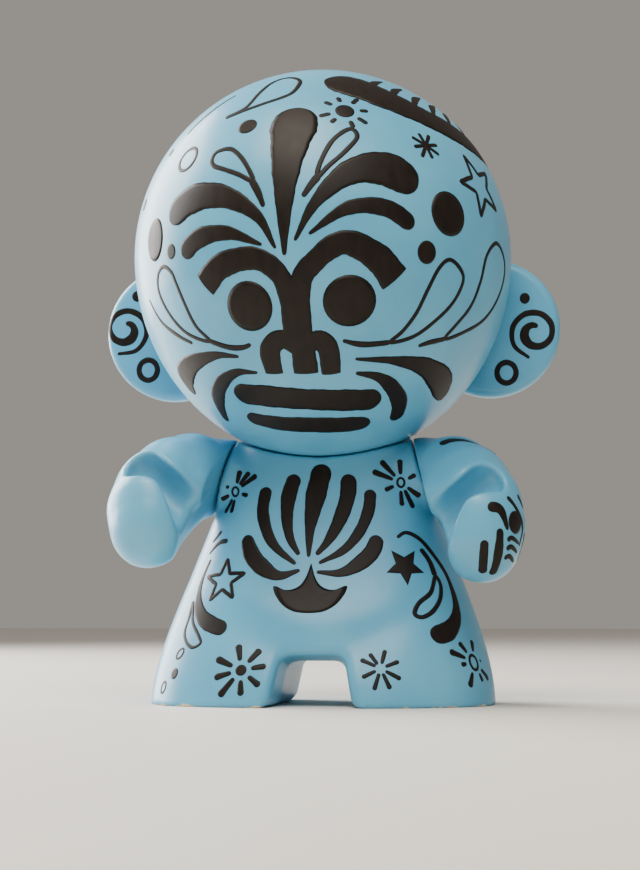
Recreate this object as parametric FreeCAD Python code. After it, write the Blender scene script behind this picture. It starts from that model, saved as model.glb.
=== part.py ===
"""A standing vinyl figure, 178 mm tall, with a turning head and two swinging arms.

Millimetres, +Z up, the figure faces -Y and its own left side is +X. The origin is on the floor,
under the middle of the head. Every shell is hollow vinyl. Hard plastic snap joints hold the head
and the arms: a bushing lines each hole, and a slotted post or peg turns in it.
"""
import FreeCAD
import Part
import math
import os

from FreeCAD import Matrix, Vector

# ---------------------------------------------------------------- driving dimensions
TOTAL_HEIGHT = 178.0
WALL = 2.6                    # vinyl wall of the head and torso
ARM_WALL = 2.3
GAP = 0.4                     # air between shells that turn on each other
FIT = 0.05                    # radial air between a shaft and its hole
OVERCUT = 2.0                 # how far a cutting shape runs past what it cuts
FAR = 80.0                    # longer than any single shell is wide

HEAD_RADIUS = 53.1            # the upper half is a hemisphere
CHIN_RADIUS = 57.0            # the lower half is a half ellipsoid, this long
NECK_TILT = 10.0              # degrees that the neck axis leans forward
HEAD_FLAT = 55.6              # from the head's centre to the flat under it

EAR_RADIUS = 20.0
EAR_THICKNESS = 7.0
EAR_ROUND = 2.4
EAR_CENTRE = Vector(46.4, 22.0, 107.2)
TENON = Vector(15.0, 3.4, 16.0)
TENON_ROOT = 1.5              # how much of the tenon's length is inside the disc

# The torso's outline at each height: z, half width, half depth, middle of the depth, squareness.
TORSO = [
    (0.0, 48.0, 31.2, 0.0, 2.3),
    (11.0, 46.5, 30.0, 2.6, 2.35),
    (22.0, 43.2, 28.2, 5.4, 2.4),
    (33.0, 39.2, 25.8, 7.8, 2.5),
    (50.0, 32.7, 21.6, 9.6, 2.6),
    (66.0, 26.9, 18.4, 9.9, 2.7),
    (80.0, 22.0, 15.6, 10.0, 2.7),
]
LEG_GAP_FLOOR = 10.2          # half width of the gap between the legs at the floor
LEG_GAP_TOP = 7.8             # and under its ceiling
LEG_GAP_HEIGHT = 12.2
LEG_GAP_ROUND = 3.0
LEG_GAP_DEPTH = 21.0          # half length of its straight middle stretch
LEG_GAP_FLARE = 2.5           # how much wider it is where it is past the body
LEG_GAP_END = 42.0            # half length over all, past the body at both ends
LEG_GAP_RISE = 1.6            # how much of the flare goes into the ceiling's height
TORSO_TOP_WALL = 4.0          # solid vinyl under the torso's top before the head's seat is cut
RING_POINTS = 40              # points round one of the torso's outlines

SHOULDER = Vector(27.8, 5.5, 64.0)
SHOULDER_TILT = 17.0          # degrees that the shoulder axis rises outwards
SHOULDER_RADIUS = 10.6
SHOULDER_SEAT = 14.0          # how deep the round seat behind an arm goes into the torso
SHOULDER_RIM = 3.0            # how far past the seat the torso is cleared for the arm
SHOULDER_CLEARING = 12.0      # how far outwards it is cleared
LEFT_RAISE = 58.0             # degrees that each arm is raised forwards
RIGHT_RAISE = 66.0

# The arm's middle line, from the shoulder to the fingertips: outwards, towards the thumb, along
# the arm, the lean of the section from the shoulder face, half thickness and half breadth.
ARM = [
    (0.3, 0.0, 0.0, 0.0, 10.4, 10.4),
    (5.6, 0.6, 4.0, 34.0, 11.0, 11.2),
    (9.8, 1.0, 12.0, 66.0, 11.3, 11.8),
    (12.0, 1.0, 21.0, 85.0, 11.5, 12.2),
    (12.9, 0.3, 30.0, 90.0, 11.5, 12.4),
    (12.1, -2.6, 37.8, 90.0, 10.9, 12.2),
    (11.2, -4.4, 44.0, 90.0, 8.7, 9.9),
    (10.9, -4.8, 48.2, 90.0, 3.6, 4.2),
]
HEEL = (Vector(8.8, -0.4, 9.0), 9.4, Vector(9.8, -4.8, 36.0), 9.6)    # fills the hand's underside
ARM_RING_POINTS = 16
THINNEST_SECTION = 1.0        # a hollow's section below this half thickness is left out
PALM_RADIUS = 60.0            # the inner side of the arm is this cylinder's hollow, nearly flat
PALM_DEEPEST = (2.2, 32.0)    # outwards and along the arm, where it cuts deepest
THUMB_ROOT = Vector(7.0, 7.0, 12.0)
THUMB_TIP = Vector(3.8, 5.6, 25.2)
THUMB_ROOT_RADIUS = 6.2
THUMB_TIP_RADIUS = 5.2
GRIP_OUTER = Vector(16.4, 8.4, 32.2)     # the valley between the thumb and the fingers
GRIP_INNER = Vector(-4.0, 1.0, 38.4)
GRIP_OUTER_RADIUS = 5.0
GRIP_INNER_RADIUS = 6.0

# Snap joints: shaft radius, radius of the hole in the vinyl, flange radius, cap radius.
NECK_JOINT = (5.0, 7.6, 9.8, 6.6)
ARM_JOINT = (4.0, 6.2, 7.3, 5.4)
FLANGE = 0.9                  # thickness of a flange let into the vinyl
INNER_FLANGE = 1.4
CAP = 2.0
CAP_AIR = 0.25
SLOT = 1.2
SEAT_AIR = 0.1                # air round a flange in its seat
TIP_TAPER = 0.8               # the peg's end face, as a share of its shaft
CAP_CORNER = 0.4              # the straight share of the cap's height
POCKET_AIR = 0.3              # air round the flange inside an arm

HEAD_CENTRE = Vector(0, 0, TOTAL_HEIGHT - HEAD_RADIUS)


# ---------------------------------------------------------------- places
def placed(shape, origin, x_axis, y_axis, z_axis):
    """The shape, moved from its own axes to these."""
    m = Matrix(x_axis.x, y_axis.x, z_axis.x, origin.x,
               x_axis.y, y_axis.y, z_axis.y, origin.y,
               x_axis.z, y_axis.z, z_axis.z, origin.z,
               0, 0, 0, 1)
    moved = shape.copy()
    moved.Placement = FreeCAD.Placement(m) * shape.Placement
    return moved


def to_neck(shape):
    """From axes with the head's centre at the origin and the neck axis as Z."""
    lean = math.radians(NECK_TILT)
    up = Vector(0, -math.sin(lean), math.cos(lean))
    side = Vector(1, 0, 0)
    return placed(shape, HEAD_CENTRE, side, up.cross(side), up)


def to_shoulder(shape, raise_deg):
    """From the left arm's axes: X out of the shoulder, Y to the thumb, Z along the arm."""
    tilt, swing = math.radians(SHOULDER_TILT), math.radians(raise_deg)
    out = Vector(math.cos(tilt), 0, math.sin(tilt))
    hanging = Vector(math.sin(tilt), 0, -math.cos(tilt))
    along = hanging * math.cos(swing) + Vector(0, -1, 0) * math.sin(swing)
    return placed(shape, SHOULDER, out, along.cross(out), along)


def to_right(shape):
    return shape.mirror(Vector(0, 0, 0), Vector(1, 0, 0))


# ---------------------------------------------------------------- building blocks
def turned(edges):
    """The solid that a closed outline in the XZ plane sweeps as it turns about Z."""
    face = Part.Face(Part.Wire(Part.__sortEdges__(edges)))
    solid = face.revolve(Vector(0, 0, 0), Vector(0, 0, 1), 360)
    return Part.Solid(solid.Shells[0]) if solid.ShapeType != "Solid" else solid


def line(a, b):
    return Part.LineSegment(Vector(a[0], 0, a[1]), Vector(b[0], 0, b[1])).toShape()


def steps(points):
    """Straight edges through (radius, height) points, closed."""
    return [line(a, b) for a, b in zip(points, points[1:] + points[:1])]


def quarter_round(radius):
    """The hemisphere's outline, from the crown to the widest point."""
    half = math.sqrt(0.5) * radius
    return Part.Arc(Vector(0, 0, radius), Vector(half, 0, half), Vector(radius, 0, 0)).toShape()


def chin_round(radius, depth, flat):
    """The lower half's outline from the flat to the widest point, and the flat's radius."""
    ellipse = Part.Ellipse(Vector(0, 0, -depth), Vector(radius, 0, 0), Vector(0, 0, 0))
    start = math.acos(flat / depth)
    return Part.ArcOfEllipse(ellipse, start, math.pi / 2).toShape(), radius * math.sin(start)


def head_solid(grow):
    """The head without its hollow, grown all over by this much, in the neck's axes."""
    radius, flat = HEAD_RADIUS + grow, HEAD_FLAT + grow
    chin, flat_radius = chin_round(radius, CHIN_RADIUS + grow, flat)
    return turned([quarter_round(radius), chin, line((flat_radius, -flat), (0, -flat)),
                   line((0, -flat), (0, radius))])


def capsule(a, radius_a, b, radius_b):
    """Two balls and the cone that touches both."""
    axis = b - a
    length = axis.Length
    slope = math.asin((radius_a - radius_b) / length)
    sin, cos = math.sin(slope), math.cos(slope)
    low, high = Vector(radius_a * cos, 0, radius_a * sin), Vector(radius_b * cos, 0, length + radius_b * sin)
    low_angle, high_angle = (slope - math.pi / 2) / 2, (slope + math.pi / 2) / 2
    low_mid = Vector(radius_a * math.cos(low_angle), 0, radius_a * math.sin(low_angle))
    high_mid = Vector(radius_b * math.cos(high_angle), 0, length + radius_b * math.sin(high_angle))
    edges = [Part.Arc(Vector(0, 0, -radius_a), low_mid, low).toShape(),
             Part.LineSegment(low, high).toShape(),
             Part.Arc(high, high_mid, Vector(0, 0, length + radius_b)).toShape(),
             line((0, length + radius_b), (0, -radius_a))]
    z_axis = axis.normalize()
    x_axis = z_axis.cross(Vector(1, 0, 0)).normalize()
    return placed(turned(edges), a, x_axis, z_axis.cross(x_axis), z_axis)


def torso_loft(inset, low, high):
    """The torso's outer form between two heights, drawn in by inset all round."""
    def ring(z, half_width, half_depth, middle, squareness):
        points = []
        for i in range(RING_POINTS):
            angle = 2 * math.pi * i / RING_POINTS
            c, s = math.cos(angle), math.sin(angle)
            x = math.copysign(abs(c) ** (2 / squareness), c) * (half_width - inset)
            y = math.copysign(abs(s) ** (2 / squareness), s) * (half_depth - inset)
            points.append(Vector(x, middle + y, z))
        curve = Part.BSplineCurve()
        curve.interpolate(Points=points, PeriodicFlag=True)
        return Part.Wire(curve.toShape())

    def at(z):
        for below, above in zip(TORSO, TORSO[1:]):
            if below[0] <= z <= above[0]:
                share = (z - below[0]) / (above[0] - below[0])
                return [p + (q - p) * share for p, q in zip(below, above)]
        raise ValueError(z)

    levels = [at(low)] + [row for row in TORSO if low < row[0] < high] + [at(high)]
    return Part.makeLoft([ring(*row) for row in levels], True)


def leg_gap(grow):
    """The tunnel between the legs, widening where it leaves the body."""
    def arch(y, flare):
        floor, top = LEG_GAP_FLOOR + grow + flare, LEG_GAP_TOP + grow + flare
        height, bend = LEG_GAP_HEIGHT + grow + flare * LEG_GAP_RISE, LEG_GAP_ROUND
        mid = bend * (1 - math.sqrt(0.5))
        slope = (floor - top) / height
        shoulder = top + slope * bend
        below = -OVERCUT
        foot = floor + slope * OVERCUT
        points = [Vector(-foot, y, below), Vector(-shoulder, y, height - bend),
                  Vector(-top + bend, y, height), Vector(top - bend, y, height),
                  Vector(shoulder, y, height - bend), Vector(foot, y, below)]
        corner = [Vector(-top + mid, y, height - mid), Vector(top - mid, y, height - mid)]
        return Part.Wire([
            Part.LineSegment(points[0], points[1]).toShape(),
            Part.Arc(points[1], corner[0], points[2]).toShape(),
            Part.LineSegment(points[2], points[3]).toShape(),
            Part.Arc(points[3], corner[1], points[4]).toShape(),
            Part.LineSegment(points[4], points[5]).toShape(),
            Part.LineSegment(points[5], points[0]).toShape()])

    return Part.makeLoft([arch(-LEG_GAP_END, LEG_GAP_FLARE), arch(-LEG_GAP_DEPTH, 0),
                          arch(LEG_GAP_DEPTH, 0), arch(LEG_GAP_END, LEG_GAP_FLARE)], True, True)


def arm_loft(inset):
    """The arm and mitten without the heel and thumb, drawn in by inset."""
    wires = []
    for out, thumb, along, lean, thick, broad in ARM:
        thick, broad = thick - inset, broad - inset
        if thick < THINNEST_SECTION:
            continue
        turn = math.radians(lean)
        normal = Vector(math.cos(turn), 0, math.sin(turn))
        across = Vector(-math.sin(turn), 0, math.cos(turn))
        centre = Vector(out, thumb, along)
        points = []
        for i in range(ARM_RING_POINTS):
            angle = 2 * math.pi * i / ARM_RING_POINTS
            points.append(centre + across * (thick * math.cos(angle))
                          + Vector(0, broad * math.sin(angle), 0))
        curve = Part.BSplineCurve()
        curve.interpolate(Points=points, PeriodicFlag=True)
        wires.append(Part.Wire(curve.toShape()))
    return Part.makeLoft(wires, True)


def palm(grow):
    """The wide cylinder that the arm's inner side is cut to."""
    out, along = PALM_DEEPEST
    radius = PALM_RADIUS + grow
    return Part.makeCylinder(radius, FAR, Vector(out - PALM_RADIUS, -FAR / 2, along), Vector(0, 1, 0))


def one_solid(shape):
    """The single solid in a boolean's result."""
    solids = sorted(shape.Solids, key=lambda s: s.Volume)
    return solids[-1]


# ---------------------------------------------------------------- snap joints, along Z
# Height 0 is the face of the fixed shell, and the turning shell's face is GAP above it.
def bushing(joint, wall):
    """Lines the hole in the shell below height 0: a flange each side and a plain bore."""
    shaft, hole, flange, _ = joint
    bore, body = shaft + FIT, hole - FIT
    return turned(steps([
        (bore, -SEAT_AIR), (flange - SEAT_AIR, -SEAT_AIR), (flange - SEAT_AIR, -FLANGE),
        (body, -FLANGE), (body, -wall),
        (flange, -wall), (flange, -wall - INNER_FLANGE), (bore, -wall - INNER_FLANGE)]))


def peg(joint, wall, own_wall):
    """Held in the other shell, whose wall is above GAP. Its slotted end snaps through the bushing."""
    shaft, hole, flange, cap = joint
    under = -wall - INNER_FLANGE - CAP_AIR
    body = hole - FIT
    top = GAP + own_wall
    solid = turned(steps([
        (0, under - CAP), (shaft * TIP_TAPER, under - CAP), (cap, under - CAP * CAP_CORNER),
        (cap, under), (shaft, under), (shaft, GAP),
        (flange - SEAT_AIR, GAP), (flange - SEAT_AIR, GAP + FLANGE),
        (body, GAP + FLANGE), (body, top), (flange, top), (flange, top + INNER_FLANGE),
        (0, top + INNER_FLANGE)]))
    length = CAP + wall + INNER_FLANGE
    for turn in (0, 90):
        cut = Part.makeBox(2 * cap, SLOT, length, Vector(-cap, -SLOT / 2, under - CAP))
        cut.rotate(Vector(0, 0, 0), Vector(0, 0, 1), turn)
        solid = solid.cut(cut)
    return one_solid(solid)


def joint_hole(joint, wall, turning):
    """What a shell loses to its bushing or peg: a hole, and a seat for the outer flange."""
    _, hole, flange, _ = joint
    if turning:
        seat = Part.makeCylinder(flange, FLANGE, Vector(0, 0, GAP))
        return seat.fuse(Part.makeCylinder(hole, wall + OVERCUT, Vector(0, 0, GAP)))
    seat = Part.makeCylinder(flange, FLANGE, Vector(0, 0, -FLANGE))
    return seat.fuse(Part.makeCylinder(hole, wall + OVERCUT, Vector(0, 0, -wall - OVERCUT)))


def at_neck(shape):
    """A neck joint part, or its hole, put where the torso's top face is."""
    shape = shape.copy()
    shape.translate(Vector(0, 0, -HEAD_FLAT - GAP))
    return to_neck(shape)


def at_left_shoulder(shape, raise_deg=0.0):
    """A shoulder joint part, or its hole, from its own Z to the shoulder axis."""
    shape = placed(shape, Vector(0, 0, 0), Vector(0, 1, 0), Vector(0, 0, 1), Vector(1, 0, 0))
    return to_shoulder(shape, raise_deg)


# ---------------------------------------------------------------- sub-parts
def head_shell():
    outer = head_solid(0)
    chin, flat_radius = chin_round(HEAD_RADIUS - WALL, CHIN_RADIUS - WALL, HEAD_FLAT - WALL)
    hollow = turned([quarter_round(HEAD_RADIUS - WALL), chin,
                     line((flat_radius, WALL - HEAD_FLAT), (0, WALL - HEAD_FLAT)),
                     line((0, WALL - HEAD_FLAT), (0, HEAD_RADIUS - WALL))])
    shell = to_neck(outer.cut(hollow)).cut(at_neck(joint_hole(NECK_JOINT, WALL, True)))
    slot = Part.makeBox(TENON.x + 2 * OVERCUT, TENON.y + 2 * FIT, TENON.z + 2 * FIT)
    slot.translate(EAR_CENTRE - Vector(TENON.x + FIT, TENON.y / 2 + FIT, TENON.z / 2 + FIT))
    return one_solid(shell.cut(slot).cut(to_right(slot)))


def left_ear():
    """A flat round disc, cut to the head's curve, with a tenon that goes through the head's wall."""
    half, bend = EAR_THICKNESS / 2, EAR_ROUND
    mid = bend * (1 - math.sqrt(0.5))
    edge = EAR_RADIUS
    outline = [
        line((0, -half), (edge - bend, -half)),
        Part.Arc(Vector(edge - bend, 0, -half), Vector(edge - mid, 0, -half + mid),
                 Vector(edge, 0, -half + bend)).toShape(),
        line((edge, -half + bend), (edge, half - bend)),
        Part.Arc(Vector(edge, 0, half - bend), Vector(edge - mid, 0, half - mid),
                 Vector(edge - bend, 0, half)).toShape(),
        line((edge - bend, half), (0, half)),
        line((0, half), (0, -half))]
    disc = placed(turned(outline), EAR_CENTRE, Vector(1, 0, 0), Vector(0, 0, -1), Vector(0, 1, 0))
    disc = disc.cut(to_neck(head_solid(FIT)))
    tenon = Part.makeBox(TENON.x, TENON.y, TENON.z)
    tenon.translate(EAR_CENTRE - Vector(TENON.x - TENON_ROOT, TENON.y / 2, TENON.z / 2))
    return one_solid(one_solid(disc).fuse(tenon).removeSplitter())


def torso_shell():
    """The bell of the body, with a round seat and a joint at each shoulder and one under the head."""
    top, seat = TORSO[-1][0], SHOULDER_SEAT
    boss = Part.makeCylinder(SHOULDER_RADIUS, seat, Vector(0, 0, -seat))
    beyond = Part.makeCylinder(SHOULDER_RADIUS + SHOULDER_RIM, SHOULDER_CLEARING)
    backing = Part.makeCylinder(SHOULDER_RADIUS + FIT, WALL + SHOULDER_CLEARING, Vector(0, 0, -WALL))
    pocket = Part.makeCylinder(SHOULDER_RADIUS - WALL, seat - WALL, Vector(0, 0, -seat))
    boss, beyond, backing, pocket = [at_left_shoulder(s) for s in (boss, beyond, backing, pocket)]
    outer = torso_loft(0, 0, top)
    hollow = torso_loft(WALL, WALL, top - TORSO_TOP_WALL)
    for side in (lambda s: s, to_right):
        outer = outer.fuse(side(boss)).cut(side(beyond))
        hollow = hollow.cut(side(backing)).fuse(side(pocket))
    hollow = hollow.cut(to_neck(head_solid(GAP + WALL))).cut(leg_gap(WALL))
    shell = outer.cut(to_neck(head_solid(GAP))).cut(leg_gap(0))
    shell = one_solid(shell).cut(one_solid(hollow))
    shell = shell.cut(at_neck(joint_hole(NECK_JOINT, WALL, False)))
    hole = at_left_shoulder(joint_hole(ARM_JOINT, WALL, False))
    return one_solid(shell.cut(hole).cut(to_right(hole)))


def slab(low, high):
    """Everything between two distances out of the shoulder."""
    return Part.makeBox(high - low, FAR, FAR, Vector(low, -FAR / 2, -FAR / 2))


def arm_shell():
    """The left arm in its own axes."""
    thumb = capsule(THUMB_ROOT, THUMB_ROOT_RADIUS, THUMB_TIP, THUMB_TIP_RADIUS)
    body = arm_loft(0).fuse(capsule(*HEEL)).cut(palm(0)).fuse(thumb)
    grip = capsule(GRIP_INNER, GRIP_INNER_RADIUS, GRIP_OUTER, GRIP_OUTER_RADIUS)
    grip_wall = capsule(GRIP_INNER, GRIP_INNER_RADIUS + ARM_WALL,
                        GRIP_OUTER, GRIP_OUTER_RADIUS + ARM_WALL)
    inner_face = GAP + ARM_WALL
    pocket = Part.makeCylinder(ARM_JOINT[2] + POCKET_AIR, INNER_FLANGE + OVERCUT,
                               Vector(inner_face, 0, 0), Vector(1, 0, 0))
    hollow = arm_loft(ARM_WALL).cut(palm(ARM_WALL)).cut(grip_wall).cut(slab(-FAR, inner_face))
    shell = one_solid(body.cut(grip)).cut(one_solid(hollow.fuse(pocket))).cut(slab(-FAR, GAP))
    turn = placed(joint_hole(ARM_JOINT, ARM_WALL, True), Vector(0, 0, 0),
                  Vector(0, 1, 0), Vector(0, 0, 1), Vector(1, 0, 0))
    return one_solid(shell.cut(turn))


def build():
    arm = arm_shell()
    shoulder_bushing = at_left_shoulder(bushing(ARM_JOINT, WALL))
    arm_peg = peg(ARM_JOINT, WALL, ARM_WALL)
    ear = left_ear()
    return {
        "torso_shell": torso_shell(),
        "head_shell": head_shell(),
        "left_ear": ear,
        "right_ear": to_right(ear),
        "neck_bushing": at_neck(head_bushing()),
        "neck_post": at_neck(neck_post()),
        "left_arm_shell": to_shoulder(arm, LEFT_RAISE),
        "right_arm_shell": to_right(to_shoulder(arm, RIGHT_RAISE)),
        "left_shoulder_bushing": shoulder_bushing,
        "right_shoulder_bushing": to_right(shoulder_bushing),
        "left_arm_peg": at_left_shoulder(arm_peg, LEFT_RAISE),
        "right_arm_peg": to_right(at_left_shoulder(arm_peg, RIGHT_RAISE)),
    }


def head_bushing():
    """The neck's bushing sits in the head, so it is the shoulder's turned over."""
    part = bushing(NECK_JOINT, WALL)
    part.rotate(Vector(0, 0, 0), Vector(1, 0, 0), 180)
    part.translate(Vector(0, 0, GAP))
    return part


def neck_post():
    """Held in the torso, with its slotted end up through the head's bushing."""
    part = peg(NECK_JOINT, WALL, WALL)
    part.rotate(Vector(0, 0, 0), Vector(1, 0, 0), 180)
    part.translate(Vector(0, 0, GAP))
    return part


def main():
    os.makedirs("parts", exist_ok=True)
    for name, shape in build().items():
        solid = one_solid(shape)
        if not solid.isValid():
            print("not valid:", name)
        solid.exportStep(f"parts/{name}.step")
        box = solid.optimalBoundingBox()
        print(f"{name:24s} {solid.Volume / 1000:8.2f} cm3  x {box.XMin:6.1f} {box.XMax:6.1f}"
              f"  y {box.YMin:6.1f} {box.YMax:6.1f}  z {box.ZMin:6.1f} {box.ZMax:6.1f}")


main()
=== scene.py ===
"""Looks for the vinyl art toy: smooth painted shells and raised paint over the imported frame.

Every shell is a smooth function of space (below zero inside), meshed and then settled onto its
zero surface. The painting is a thin closed film that lies on the same surfaces. Lengths are in
millimetres until a mesh is made, and the figure faces -Y.
"""

import math

import bpy
import numpy as np
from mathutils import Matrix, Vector


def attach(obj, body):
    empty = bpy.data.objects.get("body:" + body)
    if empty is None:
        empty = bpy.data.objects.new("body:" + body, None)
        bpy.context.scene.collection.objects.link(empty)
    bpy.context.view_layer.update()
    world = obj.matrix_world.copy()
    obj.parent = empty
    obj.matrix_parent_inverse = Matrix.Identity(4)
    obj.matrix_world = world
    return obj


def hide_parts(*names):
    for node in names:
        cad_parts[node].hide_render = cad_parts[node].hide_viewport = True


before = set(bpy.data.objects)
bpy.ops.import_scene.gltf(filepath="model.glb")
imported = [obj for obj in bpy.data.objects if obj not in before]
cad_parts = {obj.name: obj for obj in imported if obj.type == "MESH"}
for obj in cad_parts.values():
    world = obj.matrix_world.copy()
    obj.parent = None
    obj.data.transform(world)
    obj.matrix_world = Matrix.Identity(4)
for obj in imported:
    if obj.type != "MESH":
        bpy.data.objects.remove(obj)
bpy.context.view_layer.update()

# ---- sizes shared with the CAD
TOTAL_HEIGHT = 178.0
WALL = 2.6
ARM_WALL = 2.3
GAP = 0.4
HEAD_RADIUS = 53.1
CHIN_RADIUS = 57.0
NECK_TILT = math.radians(10.0)
HEAD_FLAT = 55.6
HEAD_CENTRE = np.array([0.0, 0.0, TOTAL_HEIGHT - HEAD_RADIUS])
EAR_RADIUS = 20.0
EAR_THICKNESS = 7.0
EAR_ROUND = 2.4
EAR_GAP = 0.02  # between an ear and the head
CONTACT_EDGE = 0.5  # rounding where an ear or an arm meets its neighbour
EAR_CENTRE = np.array([46.4, 22.0, 107.2])
TORSO = np.array([
    # height, half width, half depth, middle along Y, squareness
    (0.0, 48.0, 31.2, 0.0, 2.3),
    (11.0, 46.5, 30.0, 2.6, 2.35),
    (22.0, 43.2, 28.2, 5.4, 2.4),
    (33.0, 39.2, 25.8, 7.8, 2.5),
    (50.0, 32.7, 21.6, 9.6, 2.6),
    (66.0, 26.9, 18.4, 9.9, 2.7),
    (80.0, 22.0, 15.6, 10.0, 2.7)])
PROFILE_RANGE = (-3, 82)
LEG_GAP_FLOOR = 10.2
LEG_GAP_TOP = 7.8
LEG_GAP_HEIGHT = 12.2
LEG_GAP_FLARE = 2.5  # how much wider the gap gets at the front and back
LEG_GAP_RISE = 1.6  # how far its top rises there, as a share of the flare
FLARE_START = 17.0
FLARE_LENGTH = 25.0
LEG_GAP_CORNER = 3.2
LEG_GAP_EDGE = 3.0
SOLE_EDGE = 0.9
BELLY = 0.55  # how far the belly swells
BELLY_ABOVE = 1.35  # where it swells most, in crease widths above the crease
BELLY_FRONT = 2.0  # how far in front of the middle it has faded by half
BELLY_FADE = 5.0
BELLY_SIDE = 30.0
CREASE = 0.85  # how deep the fold under it is
CREASE_HEIGHT = 15.5
CREASE_SPREAD = 75.0  # the fold rises to the sides by the square of x over this
CREASE_WIDTH = 5.5
SQUIRCLE_SLOPE = 0.94  # brings the field close to a distance
SHOULDER = np.array([27.8, 5.5, 64.0])
SHOULDER_TILT = math.radians(17.0)
SHOULDER_RADIUS = 10.6
LEFT_RAISE = math.radians(58.0)
RIGHT_RAISE = math.radians(66.0)
SHOULDER_BOSS = 14.0  # how far inwards the shoulder's boss reaches
BOSS_BLEND = 2.0
SEAT_MARGIN = 3.0  # how much wider than the boss the arm's seat is
SEAT_EDGE = 0.6
NECK_HOLE = 7.6
ARM_HOLE = 6.2
HOLE_DEPTH = 8.0  # how far inwards the torso's holes are cut
ARM_HOLE_DEPTH = 6.0

# The arm as a chain of balls: outwards, towards the thumb, along the arm, radius.
ARM = [(0.2, 0.0, 0.0, 10.5), (8.6, 0.8, 10.0, 11.2), (11.6, 0.9, 19.5, 11.5),
       (12.8, 0.4, 28.0, 11.5), (12.5, -1.6, 34.2, 11.1), (11.0, -3.9, 38.2, 10.4)]
HEEL = [(8.8, -0.4, 9.0, 9.4), (9.8, -4.8, 36.0, 9.6)]
ARM_BROADER = 0.1  # how much broader than thick it is, away from the shoulder
ARM_BROADER_FROM = 14.0  # how far along the arm that is reached
ARM_BLEND = 2.0
PALM_RADIUS = 60.0
PALM_DEEPEST = (2.2, 32.0)
PALM_EDGE = 1.6
THUMB = [(7.0, 7.0, 12.0, 6.2), (3.8, 5.6, 25.2, 5.2)]
THUMB_BLEND = 3.0
GRIP = [(16.4, 8.4, 32.2, 5.0), (-4.0, 1.0, 38.4, 6.0)]
GRIP_EDGE = 2.2
LOWEST_SWING = math.radians(28.0)
ARM_CLEARANCE = 0.35  # between the torso and an arm at its lowest
CLEARANCE_EDGE = 0.4

FILM = 0.09  # how far the paint stands out
FILM_ROOT = 0.3  # how deep its underside is buried
FILM_EDGE = 0.05  # how much thinner it is at its edge
LIFT_STEP = 0.004  # each patch lies a little higher than the last, so that none coincide
LIFT_RANGE = 0.024


# ---- fields
def soft_max(a, b, width):
    """The larger of two fields, with the corner between them rounded over this width."""
    h = np.maximum(width - np.abs(a - b), 0) / width
    return np.maximum(a, b) + h * h * width / 4


def soft_min(a, b, width):
    return -soft_max(-a, -b, width)


def cone(p, a, b):
    """Distance to two balls (x, y, z, radius) and the cone between them."""
    a, b = np.array(a), np.array(b)
    axis = b[:3] - a[:3]
    t = np.clip(((p - a[:3]) @ axis) / (axis @ axis), 0, 1)
    near = a[:3] + t[..., None] * axis
    return np.linalg.norm(p - near, axis=-1) - (a[3] + t * (b[3] - a[3]))


def to_axes(p, origin, axes):
    """Points in the frame of three unit rows."""
    return (p - origin) @ np.array(axes).T


def mirror(p):
    return p * np.array([-1.0, 1.0, 1.0])


NECK_AXES = [(1, 0, 0), (0, math.cos(NECK_TILT), math.sin(NECK_TILT)),
             (0, -math.sin(NECK_TILT), math.cos(NECK_TILT))]


def head_field(p):
    q = to_axes(p, HEAD_CENTRE, NECK_AXES)
    depth = np.where(q[..., 2] < 0, CHIN_RADIUS, HEAD_RADIUS)
    scaled = np.stack([q[..., 0] / HEAD_RADIUS, q[..., 1] / HEAD_RADIUS, q[..., 2] / depth], -1)
    size = np.linalg.norm(scaled, axis=-1)
    slope = np.linalg.norm(scaled / HEAD_RADIUS, axis=-1)
    return size * (size - 1) / np.maximum(slope, 1e-6)


def ear_field(p):
    """The left ear: a disc with a rounded rim, stopping at the head."""
    q = p - EAR_CENTRE
    radial = np.hypot(q[..., 0], q[..., 2]) - (EAR_RADIUS - EAR_ROUND)
    flat = np.abs(q[..., 1]) - (EAR_THICKNESS / 2 - EAR_ROUND)
    outside = np.hypot(np.maximum(radial, 0), np.maximum(flat, 0))
    disc = outside + np.minimum(np.maximum(radial, flat), 0) - EAR_ROUND
    return soft_max(disc, EAR_GAP - head_field(p), CONTACT_EDGE)


def right_ear_field(p):
    return ear_field(mirror(p))


SHOULDER_OUT = np.array([math.cos(SHOULDER_TILT), 0, math.sin(SHOULDER_TILT)])
PROFILE = [np.polynomial.Polynomial.fit(TORSO[:, 0], TORSO[:, i], 4) for i in (1, 2, 3, 4)]


def belly_swell(p, x, z):
    """How far the front stands out over the fold, and sinks in at it."""
    front = 1 / (1 + np.exp((p[..., 1] + BELLY_FRONT) / BELLY_FADE))
    crease = CREASE_HEIGHT + x * x / CREASE_SPREAD
    away = (z - crease) / CREASE_WIDTH
    swell = BELLY * np.exp(-((away - BELLY_ABOVE) ** 2)) - CREASE * np.exp(-((away + 0.1) ** 2))
    return swell * front * np.clip(1.4 - x / BELLY_SIDE, 0, 1)


def leg_gap(p, x, y):
    """The opening between the legs, below zero inside it."""
    side = x - (LEG_GAP_FLOOR + (LEG_GAP_TOP - LEG_GAP_FLOOR) * p[..., 2] / LEG_GAP_HEIGHT)
    flare = np.clip((np.abs(y) - FLARE_START) / FLARE_LENGTH, 0, 1) * LEG_GAP_FLARE
    top = p[..., 2] - LEG_GAP_HEIGHT - flare * LEG_GAP_RISE
    return soft_max(side - flare, top, LEG_GAP_CORNER)


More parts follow.
